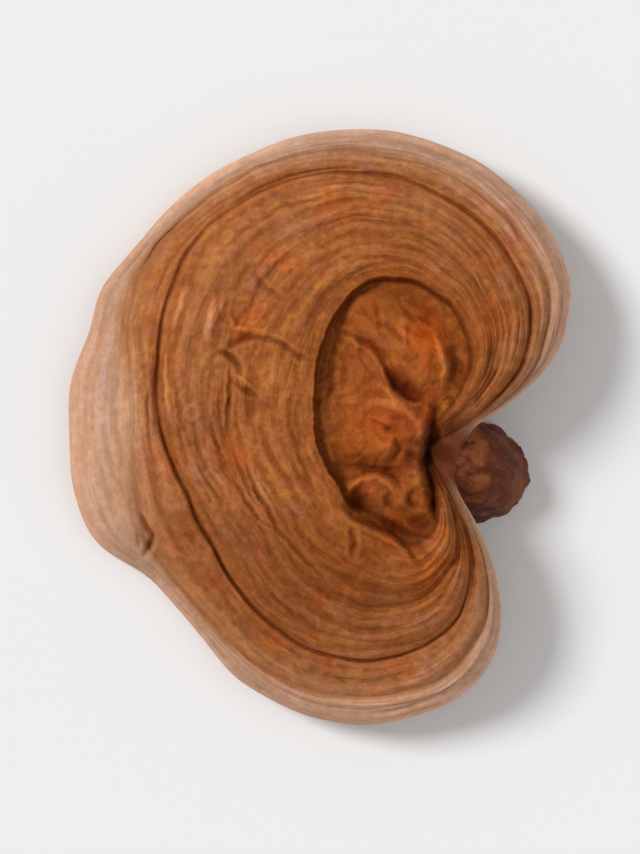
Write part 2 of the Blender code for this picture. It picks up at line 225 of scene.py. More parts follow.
# Cracks of the cap, traced one by one: depth, width (or the widths on the left and on the right of the
# line), and the line's points in x and y from the umbo
CRACKS = (
    (0.75, 0.24, 0.3, ((-20.1, 8.6), (-20.2, 6.2), (-20.4, 3), (-20.4, -0.8))),
    (0.85, 0.34, 0.45, ((-22, 10.3), (-21, 9.9), (-20, 9.3), (-18.9, 8.2), (-18.7, 6.9))),
    (0.55, 0.24, 0.36, ((-20.2, 6.3), (-18.5, 5.3), (-16.2, 4))),
    (0.42, 0.18, 0.22, ((-23, 2), (-22.5, -0.5), (-20.8, -4))),
    (0.6, 0.3, 0.22, ((-18.6, -3.8), (-17.4, -6.8), (-15.8, -9.8), (-14.4, -12.2), (-13, -14.4))),
    (0.4, 0.22, ((-20, -6), (-18.2, -9.6), (-15.7, -12.2), (-13.4, -13.4))),
    (0.7, 0.5, 0.34, ((-20.4, 10.4), (-19.3, 11.4), (-18.4, 11.9), (-17, 11.9), (-15.6, 11.8))),
    (0.5, 0.26, 0.4, ((-17.4, 11.9), (-15.2, 11.8), (-13.4, 11.2), (-11.4, 9.6), (-9.8, 8.9))),
    (0.45, 0.26, ((-14.4, -12.8), (-11, -16.6), (-8, -19.4))),
    (0.35, 0.3, 0.5, ((-17.4, 21), (-16.4, 19.6), (-15.2, 18.2), (-13.4, 17))),
    (0.42, 0.24, 0.3, ((-20.6, 17.2), (-21, 15.8), (-21.6, 13.6))),
    (0.3, 0.22, ((-23.4, 17), (-25, 13.4), (-26.2, 9))),
    (0.3, 0.22, ((-25.5, -2.7), (-23.3, -6.7), (-20.9, -10.2), (-19.4, -13.1))),
    (0.3, 0.22, ((-27.6, 6.9), (-26.4, 0.9), (-25, -3.5))),
    (0.35, 0.22, ((-31, 6.4), (-30.9, 3.6), (-31, 0.2), (-30.6, -3.6))),
    (0.3, 0.24, ((-5.4, 30.7), (-13, 29.2), (-18.6, 25.6))),
    (0.3, 0.24, ((-17.4, -18), (-14, -22.4), (-9.3, -25.7))),
    (0.22, 0.4, ((-36.9, 1), (-36.5, -3), (-35.5, -6.4), (-34, -9))),
    (0.75, 0.28, 0.3, ((-32, -10.8), (-31.4, -12.8), (-30.4, -14.1), (-29.6, -14.4))),
    (0.75, 0.28, 0.3, ((-30.2, -13.6), (-30.5, -14.6), (-31.1, -15.8), (-32.2, -17.2))),
    (0.35, 0.26, ((-32.9, -13.4), (-32.3, -14.8), (-32.7, -16.2))),
)
# Ridges beside the cracks, with heights for depths. Their tops are painted paler: partly wear, partly
# painted highlight.
CRESTS = (
    (0.6, 0.55, ((-22.2, 18), (-22.8, 14.2), (-23.3, 10.6))),
    (0.4, 0.34, ((-21, 18), (-21.4, 14.4))),
    (0.45, 0.5, ((-25.6, 19.4), (-26.8, 16), (-27.8, 12.6))),
    (0.4, 0.32, ((-28.5, 11.2), (-28.6, 7), (-28.4, 3.2), (-27.6, -0.4))),
    (0.35, 0.3, ((-20.8, 15.4), (-19.6, 13.2), (-17.2, 12.7))),
    (0.4, 0.3, ((-20.2, 7.5), (-18.6, 6.5), (-16.8, 5.2))),
    (0.3, 0.26, ((-18, -3.6), (-16.8, -6.6), (-15.2, -9.6), (-13.8, -12))),
    (0.3, 0.26, ((-19.4, -5.4), (-17.8, -8.8), (-15.6, -11.4))),
    (0.3, 0.45, ((-34.2, 9.4), (-34.7, 3.4), (-34.3, -3.4))),
    (0.25, 0.35, ((-36, 11.4), (-37.4, 5.6), (-37.6, -1), (-36.6, -7))),
)
# Folds and pits of the umbo
FOLDS = (
    (1.6, 1.15, 0.36, ((-0.2, 8.2), (0.8, 6.4), (1.5, 5.3), (2.7, 4.4), (3.9, 3.8), (5.4, 3.6))),
    (0.62, 0.6, 0.38, ((-6, 13), (-3.8, 11.9), (-1.9, 10.9), (-0.6, 9.4), (0.8, 6.4))),
    (1.9, 0.8, 0.65, ((6.7, 3.6), (6.3, 0.8), (5.8, -1.6), (5.4, -4), (6, -7), (6.4, -9.6), (6.6, -12.6))),
    (0.6, 1.4, ((-7, -4.4), (-4, -4.8), (-2.2, -5.2), (0, -5.4), (2.6, -6.4))),
    (0.5, 0.35, 0.5, ((-3.4, -5), (-1.6, -5.2), (0.2, -5.5), (1.4, -6.4), (2.3, -8.4))),
    (0.4, 0.25, 0.4, ((-2.4, 1.2), (-0.9, 0.8), (0.4, 0.2), (2.2, -0.3))),
    (0.5, 0.45, ((1.4, -0.8), (1.8, -2.8), (0.8, -4.4))),
    (0.6, 0.5, 0.8, ((2.4, -2.6), (3.4, -3.8), (5, -4.6))),
    (0.5, 0.6, ((8.6, 11), (8.9, 8.2), (8.2, 5.4))),
    (0.5, 0.45, ((0.6, -7.6), (0.2, -9), (0.8, -10.8))),
    (0.5, 0.5, ((3.6, -7.6), (3.2, -9.2), (4.2, -10.6))),
    (0.6, 0.7, ((2.6, -11.8), (4, -12.2), (5.8, -12))),
    (0.8, 0.5, 0.4, ((-5.6, -9.6), (-4, -11.6), (-1.6, -12.4), (0.8, -13.4), (3, -15.4), (5, -18.6))),
    (0.6, 0.4, ((-2.2, -10.6), (0.4, -12.2), (3.2, -13.8), (6.6, -14.2))),
    (0.5, 0.4, ((-4.6, -12.2), (-4, -14.6), (-4.4, -17.2))),
    (0.35, 0.4, ((1.6, 16), (3.4, 14.6), (5.6, 14.2), (7, 12.6))),
    (0.35, 0.4, ((-2.4, 14.4), (0.4, 13.2), (2.6, 11.4), (4.2, 9.2))),
    (0.35, 0.4, ((-1.4, 17), (-1, 14.2), (-0.7, 11.4))),
    (0.35, 0.4, ((-5.8, 10.4), (-5.4, 7.6), (-5.6, 4.2))),
)
# Sharp tops of the umbo's lumps, with heights for depths
LUMP_CRESTS = (
    (0.5, 0.6, ((-5, 13.6), (-4, 11.8), (-3.4, 9.6))),
    (0.5, 0.6, ((1.8, 15), (2.4, 12.6), (2.6, 10.4))),
    (0.5, 0.35, ((-0.8, 6.8), (0, 5.2), (1.2, 3.9), (3, 2.9))),
    (1.1, 0.8, ((-3.6, 2), (-1.6, 3.4), (0.9, 3.3), (2.8, 2.4), (4.3, 0.9), (5, -2), (4.2, -4.6))),
    (1.35, 0.7, ((-5.8, -10.2), (-4.6, -7.8), (-3, -6.5), (-1.2, -6.1), (0.4, -7), (1, -8.8))),
    (1, 0.6, 0.55, ((6, 12.6), (7.2, 10.2), (7.7, 7.6), (7.2, 4.2))),
)
# The hollow's floor climbs towards its wall here, with heights for depths
FLOOR_RISES = ((1, 1.2, ((-8.4, 7), (-8.2, 3), (-7.8, -1), (-6.8, -4.8))),)
RAISED = ((CRESTS, 1), (LUMP_CRESTS, 0.22), (FLOOR_RISES, 0))  # and how much paler their tops are painted, partly wear and partly painted highlight
FURROW_SIDES = 0.28  # how high the sides of a crack or fold rise, as a share of its depth
SIDE_PLACE = 2.2  # how far from its line they rise, in widths of the crack
FURROW_SHARPNESS = 1.3  # 1 gives a V at the bottom of each crack and fold, 2 a round bottom
LINE_TAPER = 0.6  # how wide a traced line is at its ends, as a share of its width in the middle
CRACK_FADE = 2.8  # how far in from the margin cracks come to their full depth
# Small round features: x and y from the umbo, radius, height, and 1 for a ring
SPOTS = (
    (-25.2, 2.3, 0.95, 0.26, 1), (-30.5, -14.2, 0.5, -0.2, 0), (-3.6, -9.6, 1.5, -1, 0),
    (-18.5, 11.7, 0.8, -0.3, 0), (-10.9, 9.2, 0.6, -0.3, 0), (-21.8, 8.9, 0.55, 0.35, 0),
    (-0.4, -2.4, 1.6, 0.75, 0), (4.2, -6.2, 1.3, 0.7, 0), (0.2, 1.9, 0.9, 0.3, 0),
    (3.2, -1.4, 1.3, 0.5, 0), (2, -9.4, 1.2, 0.5, 0), (-4.8, 0.6, 1.6, 0.35, 0),
)
SPOT_RING = 0.35  # width of a ring's wall, as a share of its radius
# Spots of another colour, and a painted shadow: tint, and for each spot x and y from the umbo,
# radius and strength
COLOUR_SPOTS = {
    "orange": ((1.6, 1.12, 0.62), ((4.9, 12.6, 2.1, 1), (6.4, 10.4, 1.6, 0.4), (1.6, -1.6, 1.6, 0.3))),
    "red": ((1.1, 0.84, 0.9), (
        (3.8, -0.4, 1.6, 0.5), (4.4, -4, 1.6, 0.5), (4, -12, 1.2, 1), (-2.9, -8.2, 1, 0.6),
    )),
    "dusky": ((0.74, 0.66, 0.66), (
        (-24.6, -0.6, 2.3, 0.9), (-27.2, 1.6, 1.8, 0.5), (-16.6, 3.4, 1.6, 0.7), (-18, -13.8, 2.4, 0.8),
        (-22, -4.4, 1.4, 0.6), (-26.4, -12.6, 2, 0.5), (-31.6, -14, 1.6, 0.7),
        (-13.6, -2, 3, 0.35), (-20.1, -7.7, 1.6, 0.6), (-28.6, -10.6, 1.9, 0.5),
    )),
    # painted_shadow: a painted shadow, the cap's southern part darker and browner
    "painted_shadow": ((0.66, 0.56, 0.42), ((-2.5, -18.5, 8.5, 0.8), (-16, -22, 9, 0.75), (-11, -12.5, 4, 0.35))),
}
SUNK_PAINTED_SHADE_SHARE = 0.5  # how much sunk places count in the painted shade, beside raised ones in the painted highlight
HOLLOWS = {"crease": 2, "basin": 7}  # over how many points narrow and wide hollows are measured


NOISE_GAIN = 1.6  # brings the noise to about -1 to 1
LAYER_SHIFT = 7.3  # how far each finer layer of noise is moved


class Noise:
    """Smooth gradient noise in three dimensions, the same on each run."""

    def __init__(self, seed):
        draw = np.random.default_rng(seed)
        self.order = np.tile(draw.permutation(256), 3)
        slopes = draw.normal(size=(256, 3))
        self.slopes = slopes / np.linalg.norm(slopes, axis=1)[:, None]

    def __call__(self, points):
        cell = np.floor(points).astype(int)
        inside = points - cell
        fade = inside**3 * (inside * (inside * 6 - 15) + 10)
        total = np.zeros(points.shape[:-1])
        for corner in np.ndindex(2, 2, 2):
            c = (cell + corner) & 255
            pick = self.order[self.order[self.order[c[..., 0]] + c[..., 1]] + c[..., 2]]
            weight = np.prod(np.where(corner, fade, 1 - fade), axis=-1)
            total += weight * np.sum(self.slopes[pick] * (inside - corner), axis=-1)
        return NOISE_GAIN * total


def grain(seed, points, size, layers=1):
    """Noise with its grain at the given size or sizes, and finer layers each half as strong."""
    noise = Noise(seed)
    return sum(noise(points * 2**k / size + LAYER_SHIFT * k) / 2**k for k in range(layers))


def groove(value, width):
    """1 where the value is 0, falling to nothing on both sides."""
    return np.exp(-((value / width) ** 2))


def uneven(kind, points, base=0):
    """Noise of one of the kinds above."""
    seed, strength, size, layers = kind
    return strength * grain(base + seed, points, size, layers)


def creased(kind, points):
    """Depth of thin creases, which wind where noise is near 0."""
    seed, depth, size, sharpness = kind
    return depth * groove(grain(seed, points, size), sharpness)


def at_least(least, share):
    """A share that doesn't fall below the given least one."""
    return least + (1 - least) * share


def off_line(x, y, points):
    """Distance from a line, above 0 on its left, and the share of the line that is nearest."""
    points = np.array(points)
    steps = np.hypot(*np.diff(points, axis=0).T)
    before = np.concatenate(([0], np.cumsum(steps)))
    best, share = np.full(x.shape, np.inf), np.zeros(x.shape)
    for k, length in enumerate(steps):
        (ax, ay), (bx, by) = points[k], points[k + 1]
        t = np.clip(((x - ax) * (bx - ax) + (y - ay) * (by - ay)) / length**2, 0, 1)
        far = np.hypot(x - ax - t * (bx - ax), y - ay - t * (by - ay))
        far = np.copysign(far, (bx - ax) * (y - ay) - (by - ay) * (x - ax))
        nearer = np.abs(far) < np.abs(best)
        share = np.where(nearer, (before[k] + t * length) / before[-1], share)
        best = np.where(nearer, far, best)
    return best, share


def traced_line(x, y, line):
    """How far off a line each place is, counted in its widths, and its depth, less towards both ends."""
    depth, *widths, points = line
    far, share = off_line(x, y, points)
    fullness = np.clip(4 * share * (1 - share), 0.01, 1)
    off = np.abs(far) / (np.where(far > 0, widths[0], widths[-1]) * at_least(LINE_TAPER, fullness))
    return off, depth * fullness


def at_angles(points, angles):
    """Values at the angles of a closed line given by a few (degrees, value) points, corners rounded."""
    degrees = np.arange(0, 360, OUTLINE_STEP)
    line = np.interp(degrees, *zip(*points), period=360)
    reach = np.arange(-4 * OUTLINE_ROUNDING, 4 * OUTLINE_ROUNDING + OUTLINE_STEP, OUTLINE_STEP)
    weights = np.exp(-0.5 * (reach / OUTLINE_ROUNDING) ** 2)
    half = len(reach) // 2
    wrapped = np.concatenate((line[-half:], line, line[:half]))
    rounded = np.convolve(wrapped, weights / weights.sum(), mode="valid")
    return np.interp(np.degrees(angles), degrees, rounded, period=360) * MM


def spoke_angles(count):
    """Directions of the cap's spokes, closer together where the margin runs in and out of the notch."""
    fine = np.linspace(0, 2 * math.pi, 3 * count + 1)
    radius = at_angles(MARGIN, fine)
    x, y = radius * np.cos(fine), radius * np.sin(fine)
    length = np.concatenate(([0], np.cumsum(np.hypot(np.diff(x), np.diff(y)))))
    share = (length / length[-1] + fine / fine[-1]) / 2
    return np.interp(np.arange(count) / count, share, fine)


def smooth_step(x):
    x = np.clip(x, 0, 1)
    return x * x * (3 - 2 * x)


def past(zone, change):
    """0 inside a change, 1 outside it."""
    start, width = change
    return smooth_step((zone - start) / width)


def between(zone, changes):
    """1 between two changes, 0 inside the first and outside the second."""
    return past(zone, changes[0]) * (1 - past(zone, changes[1]))


def in_plan(x, y):
    return np.stack((x, y, np.zeros_like(x)), axis=-1)


def in_rings(angles, growth, girth=RING_GIRTH):
    """Growth coordinates, in millimetres: two round the cap or the stem, and one the way that it grew."""
    return np.stack(np.broadcast_arrays(girth * np.cos(angles), girth * np.sin(angles), growth), axis=-1)


def swayed(x, y, sways):
    """Places in plan, in millimetres, moved about a little so that no form there is even."""
    flat = in_plan(x, y)
    return x + uneven(sways[0], flat), y + uneven(sways[1], flat)


def lumps(x, y):
    """Height of the umbo's lumps over the hollow's floor, merged softly where they meet."""
    total = np.exp(np.zeros_like(x))
    for cx, cy, long, wide, turn, height in LUMPS:
        c, s = math.cos(math.radians(turn)), math.sin(math.radians(turn))
        along = ((x - cx) * c + (y - cy) * s) / long
        across = ((y - cy) * c - (x - cx) * s) / wide
        inside = np.clip(1 - np.hypot(along, across) ** LUMP_FLATNESS, 0, None)
        total += np.exp(height * MM * inside**LUMP_FOOT / LUMP_MERGE) - 1
    return LUMP_MERGE * np.log(total)


class CapShape:
    """Radius and level of the cap's skin, one column for each spoke."""

    def __init__(self, angles):
        self.angles = angles
        rim = at_angles(HOLLOW_RIM, angles)
        self.margin = at_angles(MARGIN, angles)
        self.fronts = np.array([
            np.zeros_like(angles),
            rim - at_angles(HOLLOW_WALL, angles),
            rim,
            at_angles(SECOND_GROOVE, angles),
            at_angles(FIRST_GROOVE, angles),
            at_angles(PALE_BAND, angles),
            self.margin - MARGIN_ROUND * (1 - math.cos(MARGIN_START)),
        ])
        # 0 where the margin is pinched in, 1 where the cap is at its full width
        self.width = np.clip((self.margin - PINCHED_MARGIN) / (OPEN_MARGIN - PINCHED_MARGIN), 0, 1)
        around = in_rings(angles, 0.0)
        for front, kind in FRONT_WANDER.items():
            self.fronts[front] += MM * uneven(kind, around) * at_least(PINCHED_EDGE, self.width)
        self.fronts[WALL_FOOT] += self.fronts[WALL_RIM] - rim
        for front in range(LAST_FRONT - 1, 0, -1):
            self.fronts[front] = np.minimum(self.fronts[front], self.fronts[front + 1] - FRONT_GAP)
        self.under = at_angles(MARGIN_UNDERSIDE, angles)
        self.half_edge = at_angles(MARGIN_THICKNESS, angles) / 2
        self.hollow = at_angles(HOLLOW_DEPTH, angles)

    def top(self, ring):
        """(radius, level) of a ring of the top, its number counted in growth fronts."""
        inner = min(int(ring), LAST_FRONT - 1)
        zone_width = self.fronts[inner + 1] - self.fronts[inner]
        r = self.fronts[inner] + (ring - inner) * zone_width
        edge = self.fronts[LAST_FRONT]
        lip = self.under + self.half_edge * (1 + math.sin(MARGIN_START))
        dome = np.clip(1 - (r / edge) ** DOME_RISE, 0, 1) ** DOME_SHOULDER
        level = lip + (PLATEAU_LEVEL - lip) * dome

        foot, rim = self.fronts[WALL_FOOT], self.fronts[WALL_RIM]
        inward = np.clip(r / foot, 0, 1)
        floor = HOLLOW_MIDDLE_DEPTH + (self.hollow - HOLLOW_MIDDLE_DEPTH) * inward**2
        level -= floor * (1 - smooth_step((r - foot) / (rim - foot)))
        x, y = r * np.cos(self.angles) / MM, r * np.sin(self.angles) / MM
        level += lumps(*swayed(x, y, LUMP_SWAYS)) * smooth_step((edge - r) / LUMP_FADE)

        if ring > WALL_RIM:
            crown = ZONE_CROWN * np.clip(zone_width / FULL_ZONE, 0, 1)
            level += crown * math.sin(math.pi * (ring % 1)) * self.width
        for front, depth, width, rise in GROOVES:
            off = (r - self.fronts[front]) / width
            level -= depth * np.exp(-(off**2)) * self.width
            level += rise * 0.5 * (1 - np.tanh(off)) * self.width * smooth_step(2 * (ring - WALL_RIM))
        return r, level

    def edge(self, turn):
        """(radius, level) of a ring of the rounded margin, from its top at MARGIN_START to -90 degrees."""
        r = self.margin - MARGIN_ROUND * (1 - math.cos(turn))
        middle = self.under + self.half_edge
        return r, middle + self.half_edge * math.sin(turn)

    def pores(self, share):
        """(radius, level) of a ring of the pore side: share 1 is at the margin, 0 under the umbo."""
        r = (self.margin - MARGIN_ROUND) * share
        arch = 1 - share**PORE_ARCH
        return r, self.under + (UNDERSIDE_LEVEL - self.under) * arch


def top_rings():
    """Zone numbers of the fine rings of the top."""
    rings = []
    for first, count, crowd in TOP_STRETCHES:
        share = np.arange(1, count + 1) / (count + 1) if first == 0 else np.arange(count) / count
        rings.extend(first + share - crowd * np.sin(2 * math.pi * share) / (2 * math.pi))
    return np.array(rings + [LAST_FRONT])


def outward(grid):
    """Unit normals of a grid of points, rings by spokes."""
    onwards = np.roll(grid, -1, axis=1) - np.roll(grid, 1, axis=1)
    normals = np.cross(np.gradient(grid, axis=0), onwards)
    return normals / np.maximum(np.linalg.norm(normals, axis=-1, keepdims=True), 1e-12)


def middle_of_four(grid, reach=1):
    """For each point, the middle of the four points `reach` steps away."""
    rings = np.arange(len(grid))
    around = np.roll(grid, reach, axis=1) + np.roll(grid, -reach, axis=1)
    for step in (-reach, reach):
        around += grid[np.clip(rings + step, 0, len(grid) - 1)]
    return around / 4


def hollowness(grid, normals, reach):
    """How far each point lies below the middle of the points round it, in millimetres."""
    return np.sum((middle_of_four(grid, reach) - grid) * normals, axis=-1) / MM


def relaxed(grid, share, passes):
    """The grid with each point drawn a share of the way to the middle of its neighbours."""
    for _ in range(passes):
        grid = grid + share[..., None] * (middle_of_four(grid) - grid)
    return grid


def ring_relief(ring_space, zone, width):
    """Relief of the rings of growth, in millimetres."""
    lines = ring_space.copy()
    lines[..., 2] += uneven(RING_SWAY, ring_space)
    relief = np.zeros_like(zone)
    for wave in RING_WAVES:
        strength = 0.5 + smooth_step(0.5 + uneven(WAVE_STRENGTH, ring_space, wave[0]))
        relief += strength * uneven(wave, lines)
    for crack, bare in RING_CRACKS:
        there = smooth_step(1 - bare + uneven(CRACK_SPREAD, ring_space, crack[0]))
        relief -= creased(crack, lines) * there
    return relief * at_least(PINCHED_RELIEF, width)


def traced_relief(x, y):
    """What is traced line by line: its raised relief, what is cut in, and how much paler its tops are
    painted, partly wear and partly painted highlight.
    """
    x, y = swayed(x, y, TRACE_SWAYS)
    relief, cut, wear_and_highlight = np.zeros_like(x), np.zeros_like(x), np.zeros_like(x)
    for line in CRACKS + FOLDS:
        off, depth = traced_line(x, y, line)
        relief += FURROW_SIDES * depth * groove(off - SIDE_PLACE, 1)
        cut += depth * np.exp(-(off**FURROW_SHARPNESS))
    for lines, highlight_wear in RAISED:
        for line in lines:
            off, height = traced_line(x, y, line)
            relief += height * groove(off, 1)
            wear_and_highlight += highlight_wear * height * groove(off, 1)
    for sx, sy, size, height, ring in SPOTS:
        far = np.hypot(x - sx, y - sy) / size
        bump = height * (groove(far - 1, SPOT_RING) if ring else groove(far, 1))
        relief += np.maximum(bump, 0)
        cut += np.maximum(-bump, 0)
    return relief, cut, wear_and_highlight


def furrows(x, y, ring_space, shape):
    """Depth of the thin furrows in the grooves."""
    cut = np.zeros_like(x)
    strength = at_angles(FURROW_STRENGTH, shape.angles) / MM
    for k, (front, depth, half, wander, unevenness) in enumerate(FURROWS):
        off = np.hypot(x, y) - shape.fronts[front] / MM + wander * uneven(FURROW_WANDER, ring_space, k)
        fullness = FURROW_FULLNESS + unevenness * uneven(FURROW_BREAKS, ring_space, k)
        cut += depth * groove(off, half) * np.clip(fullness, 0, None) * shape.width * strength
    return cut


def top_relief(x, y, zone, ring_space, shape):
    """Relief of the cap's top over the form of the solids, what of it is cut in, and how much paler its
    tops are painted, partly wear and partly painted highlight.
    """
    flat = in_plan(x, y)
    ringed = past(zone, RINGS_START)
    calm = 1 - RINGS_CALMED * past(zone, RINGS_CALM)
    relief = (ring_relief(ring_space, zone, shape.width) + uneven(TOP_GRAIN, flat)) * ringed * calm
    umbo = sum(uneven(kind, flat) for kind in UMBO_WRINKLES) - creased(UMBO_CREASES, flat)
    relief += (1 - ringed) * umbo
    raised, cut, wear_and_highlight = traced_relief(x, y)
    cut += furrows(x, y, ring_space, shape)
    cut *= smooth_step((shape.margin / MM - np.hypot(x, y)) / CRACK_FADE)
    return relief + raised - cut, cut, wear_and_highlight


def blend_margin(grid, join):
    """Rounds off the line where the top runs into the margin."""
    near = slice(join - BLEND_PASSES, join + BLEND_PASSES)
    for _ in range(BLEND_PASSES):
        before, after = grid[near.start - 1 : near.stop - 1], grid[near.start + 1 : near.stop + 1]
        grid[near] = grid[near] / 2 + (before + after) / 4


def make_cap():
    shape = CapShape(spoke_angles(CAP_SPOKES))
    rings = top_rings()
    turns = np.linspace(MARGIN_START, -math.pi / 2, EDGE_RINGS + 1)[1:]
    shares = np.linspace(1, 0, PORE_RINGS + 2)[1:-1]
    rows = [shape.top(ring) for ring in rings]
    rows += [shape.edge(turn) for turn in turns] + [shape.pores(share) for share in shares]
    radius, level = (np.array([row[k] for row in rows]) for k in (0, 1))
    edge_shares = (MARGIN_START - turns) / (MARGIN_START + math.pi / 2)
    edge_zones = LAST_FRONT + (EDGE_ZONE - LAST_FRONT) * edge_shares
    zone = np.concatenate((rings, edge_zones, EDGE_ZONE + 1 - shares))
    zone = np.repeat(zone[:, None], CAP_SPOKES, axis=1)
    x, y = radius * np.cos(shape.angles), radius * np.sin(shape.angles)
    grid = np.stack((UMBO[0] + x, UMBO[1] + y, level), axis=-1)
    blend_margin(grid, len(rings) - 1)
    normals = outward(grid)

    x, y = x / MM, y / MM
    ring_space = in_rings(shape.angles, np.interp(zone, *ZONE_GROWTH))
    top, cut, wear_and_highlight = top_relief(x, y, zone, ring_space, shape)
    edge = sum(uneven(kind, ring_space) for kind in EDGE_WAVES) * at_least(PINCHED_EDGE, shape.width)
    pores = uneven(PORE_WAVES, np.stack((x, y, zone), axis=-1))
    at_top, at_pores = 1 - past(zone, TOP_END), past(zone, PORES_START)
    push = at_top * top + between(zone, (EDGE_START, PORES_START)) * edge + at_pores * pores
    upright = at_top * np.maximum(1 - past(zone, UPRIGHT_END), 1 - smooth_step(2 * shape.width))
    ways = normals + upright[..., None] * (np.array((0, 0, 1.0)) - normals)
    grid = grid + ways * push[..., None] * MM

    from_stem = np.hypot(x - STEM_LINE[1][0], y - STEM_LINE[1][1])
    flow = smooth_step(1 - from_stem / COLLAR_REACH) * between(zone, LIP_FLOW)
    flow *= 1 + uneven(LIP_RUNS, ring_space)
    grid = grid + flow[..., None] * np.array(COLLAR_SHIFT) * MM
    lip = smooth_step(LIP_REACH - from_stem / COLLAR_REACH) * between(zone, LIP_SMOOTH)
    grid = relaxed(grid, 0.5 * lip, LIP_PASSES)
    grid[..., 2] = np.maximum(grid[..., 2], 0)

    cap = closed_skin("cap_flesh", grid, *grid[[0, -1]].mean(axis=1))
    lead = at_angles(PALE_LEAD, shape.angles) / MM
    # Height that the material paints as light: raised places lighter, sunk ones darker
    lift = np.clip(np.where(top < 0, SUNK_PAINTED_SHADE_SHARE * top, top), -1, 1)
    marks = {
        "zone": zone,
        "hue": zone + lead * between(zone, LEAD_SPAN),
        "from_stem": from_stem,
        "lift": lift * at_top,
        "cut": cut * at_top,
        "wear_and_highlight": wear_and_highlight * at_top,
    }
    # Hollowness, which the material paints as shade in creases and basins and as highlight on small rises
    for name, reach in HOLLOWS.items():
        marks[name] = hollowness(grid, normals, reach)
    for name, (_, spots) in COLOUR_SPOTS.items():
        near = sum(strength * groove(np.hypot(x - sx, y - sy), size) for sx, sy, size, strength in spots)
        marks[name] = near * at_top
    for name, values in marks.items():
        paint(cap.data, name, values, values[[0, -1]].mean(axis=1))
    paint(cap.data, "rings", ring_space, ring_space[[0, -1], 0])
    return cap


def added(name, data):
    obj = bpy.data.objects.new(name, data)
    bpy.context.scene.collection.objects.link(obj)
    return obj


def closed_skin(name, grid, first, last):
    """A closed mesh over a grid of points, rings by spokes, ended by the points first and last."""
    rings, spokes = grid.shape[:2]
    points = np.concatenate((grid.reshape(-1, 3), [first, last]))
    index = np.arange(rings * spokes).reshape(rings, spokes)
    after = np.roll(index, -1, axis=1)
    quads = np.stack((index[:-1], index[1:], after[1:], after[:-1]), axis=-1).reshape(-1, 4).tolist()
    quads += [(rings * spokes, a, b) for a, b in zip(index[0].tolist(), after[0].tolist())]
    quads += [(rings * spokes + 1, b, a) for a, b in zip(index[-1].tolist(), after[-1].tolist())]
    mesh = bpy.data.meshes.new(name)
    mesh.from_pydata(points.tolist(), [], quads)
    mesh.shade_smooth()
    return added(name, mesh)


def paint(mesh, name, values, ends):
    """Keeps a value for each point of a closed skin: its grid's, then its two ends'."""
    values = np.concatenate((values.reshape(len(mesh.vertices) - 2, -1), np.reshape(ends, (2, -1))))
    kind, field = ("FLOAT", "value") if values.shape[1] == 1 else ("FLOAT_VECTOR", "vector")
    layer = mesh.attributes.new(name, kind, "POINT")
    layer.data.foreach_set(field, values.ravel().astype(np.float32))


# ---------- stem

STEM_SPOKES = 168
STEM_LEVELS = 84
STEM_HEAD_GROW = 1.6 * MM  # how much further the fine stem reaches into the cap's flesh
STEM_GIRTH = 7.0  # radius at which its grain runs round it
STEM_CORNER = 50  # degrees from which an edge of the stem stays sharp


def make_stem():
    stations = np.linspace(0, len(STEM_LINE) - 1, STEM_LEVELS)
    line = np.array(STEM_LINE) * MM + np.array((*UMBO, 0))
    radii = np.array(STEM_RADII) * MM
    columns = [np.polyval(np.polyfit(range(4), known, 3), stations) for known in (*line.T, radii)]
    path, radii = np.stack(columns[:3], axis=1), columns[3]
    along = np.gradient(path, axis=0)
    along /= np.linalg.norm(along, axis=1)[:, None]
    path[0] -= along[0] * STEM_HEAD_GROW
    turns = np.arange(STEM_SPOKES) * 2 * math.pi / STEM_SPOKES
    down = np.array((0, 0, -1.0))
    rings, spots = [], []
    length = np.concatenate(([0], np.cumsum(np.linalg.norm(np.diff(path, axis=0), axis=1)))) / MM
    for k, (middle, direction, radius) in enumerate(zip(path, along, radii)):
        side = np.cross(direction, (0, 0, 1.0))
        side /= np.linalg.norm(side)
        up = np.cross(side, direction)
        level = k / (STEM_LEVELS - 1)
        waves = [a * np.sin(n * turns + twist * STEM_TWIST * level) for n, a, twist in STEM_SWELLS]
        spot = in_rings(turns, length[k], STEM_GIRTH)
        relief = sum(uneven(kind, spot) for kind in STEM_LUMPS) - creased(STEM_CREASES, spot)
        reach = radius * (1 + STEM_SWELLING * sum(waves)) + relief * MM
        out = reach[:, None] * (np.cos(turns)[:, None] * side + np.sin(turns)[:, None] * up)
        facing = (1 - level) * direction + level * down
        rings.append(middle + out - np.outer(out @ facing / (direction @ facing), direction))
        spots.append(spot)
    grid = np.array(rings)[:, ::-1]
    spots = np.array(spots)[:, ::-1]
    grid[-1, :, 2] = 0
    grid[..., 2] = np.maximum(grid[..., 2], 0)
    stem = closed_skin("stem_stub", grid, *grid[[0, -1]].mean(axis=1))
    paint(stem.data, "grain", spots, spots[[0, -1], 0])
    paint(stem.data, "skin", np.ones(grid.shape[:2]), (1, 0))
    stem.data.set_sharp_from_angle(angle=math.radians(STEM_CORNER))
    return stem


# ---------- materials


def srgb(red, green, blue):
    """A colour given as it is seen on a screen, 0 to 255, in linear light."""
    channels = [c / 255 for c in (red, green, blue)]
    return (*[c / 12.92 if c < 0.04045 else ((c + 0.055) / 1.055) ** 2.4 for c in channels], 1)


class Nodes:
    """The nodes of a material or a world."""

    def __init__(self, owner):
        owner.use_nodes = True
        self.tree = owner.node_tree

    def set(self, node, inputs):
        for name, value in inputs.items():
            socket = node.inputs[name]
            if isinstance(value, bpy.types.NodeSocket):
                self.tree.links.new(value, socket)
            else:
                socket.default_value = value

    def node(self, kind, inputs, **settings):
        node = self.tree.nodes.new("ShaderNode" + kind)
        for name, value in settings.items():
            setattr(node, name, value)
        self.set(node, inputs)
        return node


